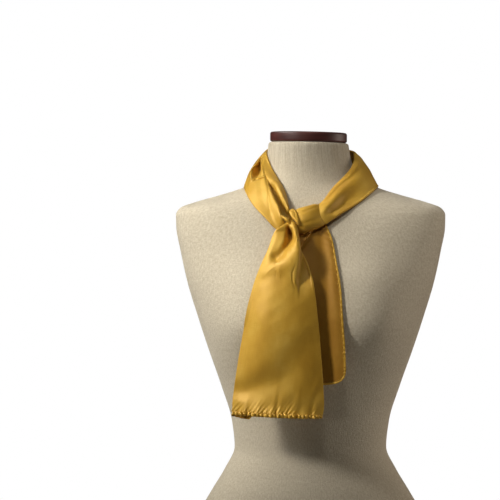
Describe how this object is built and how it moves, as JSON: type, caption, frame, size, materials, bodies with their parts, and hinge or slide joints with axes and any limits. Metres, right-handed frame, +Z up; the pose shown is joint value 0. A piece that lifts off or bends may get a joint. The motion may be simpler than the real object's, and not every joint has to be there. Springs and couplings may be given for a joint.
{
  "type": "satin scarf on dress form",
  "caption": "Oblong gold satin scarf tied in a half knot round the neck of a limbless jersey-covered dress form, with a dark wood neck block and a base board.",
  "frame": {"origin": "on the underside of the base board, under the middle of the neck", "axes": "+Z up, -Y towards the front of the form, +X to the right of someone facing its front"},
  "size_m": [0.39, 0.2848, 0.8095],
  "materials": {
    "cream_jersey": "matte cotton jersey",
    "mahogany": "gloss varnish",
    "dark_board": "satin varnish",
    "satin_band_left": "satin weave",
    "satin_band_nape": "satin weave",
    "satin_band_right": "satin weave",
    "satin_wrap": "satin weave",
    "satin_knot": "satin weave",
    "satin_tail_front": "satin weave",
    "satin_tail_rear": "satin weave"
  },
  "bodies": {
    "root": {"torso": "cream_jersey", "neck_block": "mahogany", "base_board": "dark_board", "band_left": "satin_band_left", "band_nape": "satin_band_nape", "band_right": "satin_band_right", "knot_wrap": "satin_wrap", "knot": "satin_knot", "tail_front": "satin_tail_front", "tail_rear": "satin_tail_rear"}
  },
  "joints": []
}
